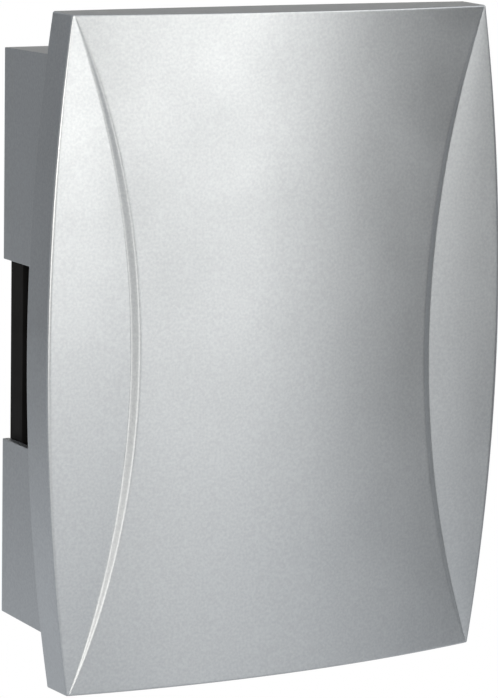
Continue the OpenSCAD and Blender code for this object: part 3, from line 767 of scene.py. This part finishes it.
def block_points(low, high):
    """Corners and faces of a block on the wall."""
    corners = [(x, y, z) for z in (low[2], high[2]) for y in (low[1], high[1]) for x in (low[0], high[0])]
    faces = [(0, 2, 3, 1), (4, 5, 7, 6), (0, 1, 5, 4), (2, 6, 7, 3), (0, 4, 6, 2), (1, 3, 7, 5)]
    return corners, faces


def cover_ribs(s, inner):
    """Ribs between the rim and the frame's spigot, rooted in the rim's wall and the front."""
    low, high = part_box("rear_frame")
    mid = (low.z + high.z) / 2
    frame_inset = 3.1 * MM
    spigot_x = high.x - frame_inset + s.spigot_gap
    spigot_y = (high.z - low.z) / 2 - frame_inset + s.spigot_gap
    bite = s.wall / 2
    end = inner.end_back + bite / 3
    ribs = []
    for i in (-1, 0, 1):
        y = mid + i * s.rib_pitch
        x = inner.side_axis + math.sqrt((inner.back_reach + bite / 2) ** 2 - (abs(y) + s.rib_t / 2) ** 2)
        for a, b in ((spigot_x, x), (-x, -spigot_x)):
            ribs.append(((a, y - s.rib_t / 2, inner.back), (b, y + s.rib_t / 2, inner.flat + bite)))
        x = i * s.rib_pitch
        roof = float(inner.crown_z(abs(x) + s.rib_t / 2)) + bite / 2
        if abs(x) + s.rib_t > inner.foot(inner.end_back)[0]:
            roof = inner.flat + bite
        for a, b in ((mid + spigot_y, end), (-end, mid - spigot_y)):
            ribs.append(((x - s.rib_t / 2, a, inner.back), (x + s.rib_t / 2, b, roof)))
    return ribs


class CHIME_OT_front_cover(bpy.types.Operator):
    """Moulded cover: crowned centre panel between two sloping side fields, with a rim and locating ribs"""

    bl_idname = "chime.front_cover"
    bl_label = "Front Cover"

    def execute(self, context):
        s = context.scene.chime_cover
        outer, inner = CoverForm(s, 0.0), CoverForm(s, s.wall)
        points, faces, outer_ring = cover_skin(outer, 1.0)
        inner_points, inner_faces, inner_ring = cover_skin(inner, -1.0)
        shift = join(points, faces, inner_points, inner_faces)
        faces += ring_faces(outer_ring, [i + shift for i in inner_ring])
        for low, high in cover_ribs(s, inner):
            join(points, faces, *block_points(low, high))
        silver = finish_set(context.scene.chime_colours)["silver_paint"]
        add_piece(
            "cover_shell", on_wall(points), faces, silver, "cover", "silver_paint", "front_cover", even=True
        )
        return {"FINISHED"}


# Frame, plate and bars


class CHIME_OT_box(bpy.types.Operator):
    """Silver rear frame, black back plate and the screws that join them"""

    bl_idname = "chime.box"
    bl_label = "Frame and Back Plate"

    def execute(self, context):
        paint = finish_set(context.scene.chime_colours)
        edge = context.scene.chime_work.soft_edge
        soften("rear_frame", "frame_walls", edge, "silver_paint", paint["silver_paint"], LONG_EDGE)
        soften("back_plate", "plate_moulding", edge, "black_plastic", paint["black_plastic"], LONG_EDGE)
        dress("frame_screws", paint["zinc"])
        return {"FINISHED"}


class CHIME_OT_tone_bars(bpy.types.Operator):
    """Two plated tone bars in rubber grommets on their pins"""

    bl_idname = "chime.tone_bars"
    bl_label = "Tone Bars"

    def execute(self, context):
        paint = finish_set(context.scene.chime_colours)
        edge = context.scene.chime_work.soft_edge
        soften("tone_bar_low", "low_bar", edge, "bar_steel", paint["bar_steel"])
        soften("tone_bar_high", "high_bar", edge, "bar_steel", paint["bar_steel"])
        dress("bar_grommets", paint["rubber"])
        dress("bar_pins", paint["zinc"])
        return {"FINISHED"}


# Solenoid and plunger


def axis_ring(w, x, r, turn):
    """Ring about the solenoid's axis; its place and radius may change with the angle."""
    return np.stack(np.broadcast_arrays(x, -w.axis_out + r * np.cos(turn), r * np.sin(turn)), -1)


class CHIME_OT_solenoid(bpy.types.Operator):
    """Yoke, former, wire winding, wrap and tags"""

    bl_idname = "chime.solenoid"
    bl_label = "Solenoid"

    def execute(self, context):
        paint = finish_set(context.scene.chime_colours)
        w = context.scene.chime_work
        soften("coil_yoke", "yoke_bracket", w.soft_edge, "yoke_steel", paint["yoke_steel"])
        soften("coil_bobbin", "former_moulding", w.soft_edge * 0.6, "former_plastic", paint["former_plastic"])
        self.wind(w, paint["copper"])
        self.wrap(w, paint["amber_tape"])
        dress("coil_tags", paint["brass"])
        dress("yoke_screws", paint["zinc"])
        return {"FINISHED"}

    def wind(self, w, material):
        """Wire laid turn beside turn on the former, one ridge to a turn."""
        low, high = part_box("coil_winding")
        outer = (high.z - low.z) / 2
        bore = outer / 2 + 0.3 * MM
        end_gap, sides = 0.1 * MM, 56
        ridge = np.array([0.0, 0.10, 0.14, 0.10]) * MM
        base, cuts = outer - ridge.max(), len(ridge)
        turns = int((high.x - low.x) / w.wire_pitch) - 1
        turn = circle(sides)
        lead = w.wire_pitch * turn / (2 * math.pi)
        rings = [axis_ring(w, low.x, bore, turn), axis_ring(w, low.x, base, turn)]
        for k in range(turns * cuts):
            x = low.x + end_gap + lead + k * w.wire_pitch / cuts
            rings.append(axis_ring(w, x, base + ridge[k % cuts], turn))
        rings += [axis_ring(w, high.x, base, turn), axis_ring(w, high.x, bore, turn)]
        points, faces = ring_stack(rings, closed=True)
        add_piece("wire_winding", points, faces, material, "base", "copper", "coil_winding", sharp=80)

    def wrap(self, w, material):
        """Wrap that ends in a lap along the coil."""
        low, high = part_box("coil_tape")
        outer = (high.z - low.z) / 2
        inner = outer - 0.4 * MM
        lap, lap_at, lap_edge, sides = 0.13 * MM, math.radians(150), math.radians(0.3), 96
        turn = np.linspace(0, 2 * math.pi - lap_edge, sides) + lap_at
        spiral = outer - lap * (1 - np.linspace(0, 1, sides))
        edges = ((low.x, inner), (low.x, spiral), (high.x, spiral), (high.x, inner))
        points, faces = ring_stack([axis_ring(w, x, r, turn) for x, r in edges], closed=True)
        add_piece("tape_wrap", points, faces, material, "base", "amber_tape", "coil_tape")


class CHIME_OT_plunger(bpy.types.Operator):
    """Steel core with its two strikers, collar and return spring, in the guide tube"""

    bl_idname = "chime.plunger"
    bl_label = "Plunger"

    def execute(self, context):
        paint = finish_set(context.scene.chime_colours)
        w = context.scene.chime_work
        dress("plunger_tube", paint["brass"])
        dress("plunger_core", paint["core_steel"])
        for node in ("striker_left", "striker_right", "spring_collar"):
            dress(node, paint["white_nylon"])
        self.coil_spring(w, paint["spring_steel"])
        return {"FINISHED"}

    def coil_spring(self, w, material):
        """Wire helix between the collar and the former."""
        collar_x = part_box("spring_collar")[1].x
        former_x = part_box("coil_bobbin")[0].x
        seat = 0.4 * MM + w.spring_wire / 2
        steps, sides, slack = 28, 12, 2 * MM
        t = np.linspace(0, 1, w.spring_curls * steps + 1)
        turn = 2 * math.pi * w.spring_curls * t
        path = np.stack([
            collar_x + seat + (former_x - collar_x - 2 * seat) * t,
            -w.axis_out - w.spring_r * np.sin(turn),
            w.spring_r * np.cos(turn),
        ], -1)
        points, faces = tube(path, w.spring_wire / 2, sides, np.array([1.0, 0.0, 0.0]))
        spring = add_piece(
            "spring_coil", points, faces, material, "base", "spring_steel", "return_spring", sharp=80
        )
        spring.parent = None
        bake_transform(spring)


# Terminals

LEAD_SIDES = 14


class CHIME_OT_terminals(bpy.types.Operator):
    """Terminal block with its clamping tubes, screws and the two coil leads"""

    bl_idname = "chime.terminals"
    bl_label = "Terminals and Leads"

    def execute(self, context):
        paint = finish_set(context.scene.chime_colours)
        w = context.scene.chime_work
        plastic = paint["block_plastic"]
        soften("terminal_block", "block_moulding", w.soft_edge, "block_plastic", plastic, LONG_EDGE)
        dress("terminal_tubes", paint["brass"])
        dress("terminal_screws", paint["zinc"])
        dress("terminal_fixing_screw", paint["zinc"])
        self.lead(w, -1, "coil_lead_left", "red_insulation", paint)
        self.lead(w, 1, "coil_lead_right", "blue_insulation", paint)
        return {"FINISHED"}

    def lead(self, w, side, node, slot, paint):
        """One lead on its sway from the tag to the clamping tube, with its solder joint."""
        start = np.array([24.1, -17.0, 19.0]) * MM
        end = np.array([7.0, -51.0, 8.0]) * MM
        steps, sway_start, sway_run, solder_drop = 49, 0.08, 0.70, 0.2 * MM
        t = np.linspace(0, 1, steps)
        s = np.clip((t - sway_start) / sway_run, 0, 1)
        over = s * s * (3 - 2 * s)
        run = end - start
        path = start + np.stack([run[0] * over, run[1] * t, run[2] * over], -1)
        path[:, 0] *= side
        points, faces = tube(on_wall(path), w.lead_d / 2, LEAD_SIDES, np.array([0.97, 0.2, 0.1]))
        add_piece(f"{node}_sheath", points, faces, paint[slot], "base", slot, node, sharp=60)
        place = np.array([start[0] * side, start[1] + solder_drop, start[2]])
        self.solder(f"{node}_joint", place, paint["solder"])

    def solder(self, name, place, material):
        """Solder joint at a place on the wall, narrower across than it is deep."""
        heights = (-1.5, -1.2, -0.6, 0.2, 0.9, 1.6, 2.2)
        radii = (0.35, 0.75, 1.05, 1.12, 0.98, 0.72, 0.4)
        across, deep = 0.8, 1.25
        turn = circle(LEAD_SIDES)
        rings = []
        for y, r in zip(heights, radii):
            ring = np.broadcast_arrays(across * r * np.cos(turn), y, deep * r * np.sin(turn))
            rings.append(place + np.stack(ring, -1) * MM)
        points, faces = ring_stack(rings)
        add_piece(name, on_wall(points), faces, material, "base", "zinc", sharp=80)


# Stage


def matte(name, colour):
    """A dull finish of one colour."""
    return Finish(name).set(Base_Color=(*colour, 1), Roughness=0.9, Specular_IOR_Level=0.1)


def light_path_mix(tree, lit, shown):
    """Shows one shader to the eye, in gloss and through glass, and lights with the other."""
    path = tree.nodes.new("ShaderNodeLightPath")
    total = path.outputs["Is Camera Ray"]
    for name in ("Is Glossy Ray", "Is Transmission Ray"):
        add = tree.nodes.new("ShaderNodeMath")
        add.operation = "MAXIMUM"
        tree.links.new(total, add.inputs[0])
        tree.links.new(path.outputs[name], add.inputs[1])
        total = add.outputs[0]
    mix = tree.nodes.new("ShaderNodeMixShader")
    tree.links.new(total, mix.inputs["Fac"])
    tree.links.new(lit, mix.inputs[1])
    tree.links.new(shown, mix.inputs[2])
    return mix.outputs[0]


def add_surface(scene, name, points, faces, material):
    """A plain surface of the stage."""
    mesh = bpy.data.meshes.new(name)
    mesh.from_pydata(points, [], faces)
    mesh.materials.append(material)
    surface = bpy.data.objects.new(name, mesh)
    scene.collection.objects.link(surface)
    return surface


class CHIME_OT_stage(bpy.types.Operator):
    """Camera, soft lights, white surroundings, matte cards and a pale floor"""

    bl_idname = "chime.stage"
    bl_label = "Stage"

    def execute(self, context):
        scene = context.scene
        v = scene.chime_stage
        level = -scene.chime_cover.height / 2 - v.floor_drop
        scene.view_settings.view_transform = "Standard"
        self.camera(scene, v)
        self.surroundings(scene, v)
        self.floor(scene, v, level)
        self.cards(scene, v, level)
        self.lights(scene, v)
        return {"FINISHED"}

    def camera(self, scene, v):
        """Camera at its place, turned by yaw, pitch and roll."""
        sy, cy, sp, cp = math.sin(v.yaw), math.cos(v.yaw), math.sin(v.pitch), math.cos(v.pitch)
        ahead = Vector((sy * cp, cy * cp, -sp))
        right = Vector((cy, -sy, 0))
        up = right.cross(ahead)
        right, up = (
            right * math.cos(v.roll) + up * math.sin(v.roll),
            up * math.cos(v.roll) - right * math.sin(v.roll),
        )
        data = bpy.data.cameras.new("camera")
        data.lens = v.lens
        camera = bpy.data.objects.new("camera", data)
        scene.collection.objects.link(camera)
        turn = Matrix((right, up, -ahead)).transposed().to_4x4()
        camera.matrix_world = Matrix.Translation(v.camera_place) @ turn
        scene.camera = camera

    def surroundings(self, scene, v):
        """White surroundings that light the part with the ambient strength."""
        world = bpy.data.worlds.new("white_room")
        scene.world = world
        world.use_nodes = True
        tree = world.node_tree
        tree.nodes.clear()
        lit, shown = tree.nodes.new("ShaderNodeBackground"), tree.nodes.new("ShaderNodeBackground")
        lit.inputs["Strength"].default_value = v.ambient
        lit.inputs["Color"].default_value = (1, 1, 1, 1)
        shown.inputs["Color"].default_value = (1, 1, 1, 1)
        out = tree.nodes.new("ShaderNodeOutputWorld")
        tree.links.new(light_path_mix(tree, lit.outputs[0], shown.outputs[0]), out.inputs["Surface"])

    def floor(self, scene, v, level):
        """Pale floor that fades to white away from the part."""
        radius, sides, fade_start, fade_end = 4.0, 96, 0.22, 0.46
        f = matte("pale_floor", v.floor_tint)
        far = f.node("ShaderNodeVectorMath", operation="LENGTH")
        f.link(f.coords(), far.inputs[0])
        fade = f.span(far.outputs["Value"], 0.0, 1.0, fade_start, fade_end)
        white = f.node("ShaderNodeEmission")
        mixed = f.node("ShaderNodeMixShader")
        f.link(fade, mixed.inputs["Fac"])
        f.link(f.shader.outputs[0], mixed.inputs[1])
        f.link(white.outputs[0], mixed.inputs[2])
        out = next(n for n in f.tree.nodes if n.type == "OUTPUT_MATERIAL")
        f.link(light_path_mix(f.tree, f.shader.outputs[0], mixed.outputs[0]), out.inputs["Surface"])
        points = [(radius * math.cos(a), radius * math.sin(a), level) for a in circle(sides)]
        floor = add_surface(scene, "floor", points, [tuple(range(sides))], f.material)

    def cards(self, scene, v, level):
        """Matte cards round the part, from one turn in degrees to another. Only gloss sees them."""
        columns = 13
        faces = ring_faces(list(range(columns)), list(range(columns, 2 * columns)), closed=False)
        for name, first, last, reach, top, colour in (
            ("right_card", 36, 49, v.card_reach, v.right_card_top, v.card_tint),
            ("far_card", 49, 77, v.far_card_reach, v.far_card_top, v.card_tint),
            ("front_card", -23, -1.5, v.card_reach, v.front_card_top, v.card_tint),
            ("step_card", -80, -36, v.card_reach, v.front_card_top, v.left_tint),
            ("left_card", -155, -134, v.card_reach, v.left_card_top, v.left_tint),
            ("back_card", 110, 178, v.card_reach, v.back_card_top, v.back_tint),
        ):
            turn = np.radians(np.linspace(first, last, columns))
            points = [(reach * math.sin(a), -reach * math.cos(a), z) for z in (level, top) for a in turn]
            card = add_surface(scene, name, points, faces, matte(name, colour).material)
            card.visible_camera = card.visible_diffuse = card.visible_shadow = False

    def lights(self, scene, v):
        """Soft lamps that face the part, placed by turn and rise in degrees and by distance."""
        rows = (
            ("key_light", v.key_power, 17, 5.2, 1.2, 0.596, 0.569),
            ("high_light", v.high_power, 15.5, 17.9, 1.2, 0.6, 0.6),
            ("top_light", v.top_power, 40, 46, 1.2, 0.7, 0.6),
            ("edge_light", v.edge_power, -28.5, 10, 1.2, 0.22, 0.55),
        )
        for name, power, turn, rise, away, width, height in rows:
            data = bpy.data.lights.new(name, "AREA")
            data.shape = "RECTANGLE"
            data.size, data.size_y = width, height
            data.energy = power
            data.color = v.lamp_tint
            a, e = math.radians(turn), math.radians(rise)
            back = Vector((math.sin(a) * math.cos(e), -math.cos(a) * math.cos(e), math.sin(e)))
            lamp = bpy.data.objects.new(name, data)
            scene.collection.objects.link(lamp)
            lamp.location = back * away
            lamp.rotation_mode = "QUATERNION"
            lamp.rotation_quaternion = (-back).to_track_quat("-Z", "Y")


class CHIME_PT_panel(bpy.types.Panel):
    """Sizes, colours and build steps of the wall chime"""

    bl_idname = "CHIME_PT_panel"
    bl_label = "Wall Chime"
    bl_space_type = "VIEW_3D"
    bl_region_type = "UI"
    bl_category = "Chime"

    def draw(self, context):
        for key, group in GROUPS.items():
            column = self.layout.column()
            for name in group.__annotations__:
                column.prop(getattr(context.scene, key), name)
        for step in STEPS:
            self.layout.operator(step.bl_idname)


GROUPS = {
    "chime_cover": CoverSizes,
    "chime_work": WorkSizes,
    "chime_colours": FinishColours,
    "chime_stage": StageValues,
}
STEPS = (
    CHIME_OT_stage,
    CHIME_OT_front_cover,
    CHIME_OT_box,
    CHIME_OT_tone_bars,
    CHIME_OT_solenoid,
    CHIME_OT_plunger,
    CHIME_OT_terminals,
)


def register():
    """Registers the classes and hangs the property groups on the scene."""
    for cls in (*GROUPS.values(), *STEPS, CHIME_PT_panel):
        bpy.utils.register_class(cls)
    for name, group in GROUPS.items():
        setattr(bpy.types.Scene, name, PointerProperty(type=group))


def unregister():
    """Takes the property groups and the classes away again."""
    for name in GROUPS:
        delattr(bpy.types.Scene, name)
    for cls in (CHIME_PT_panel, *reversed(STEPS), *reversed(GROUPS.values())):
        bpy.utils.unregister_class(cls)


def main():
    """Builds everything in order."""
    register()
    bpy.ops.chime.stage()
    bpy.ops.chime.front_cover()
    bpy.ops.chime.box()
    bpy.ops.chime.tone_bars()
    bpy.ops.chime.solenoid()
    bpy.ops.chime.plunger()
    bpy.ops.chime.terminals()
    bpy.context.view_layer.update()


if __name__ == "__main__":
    main()
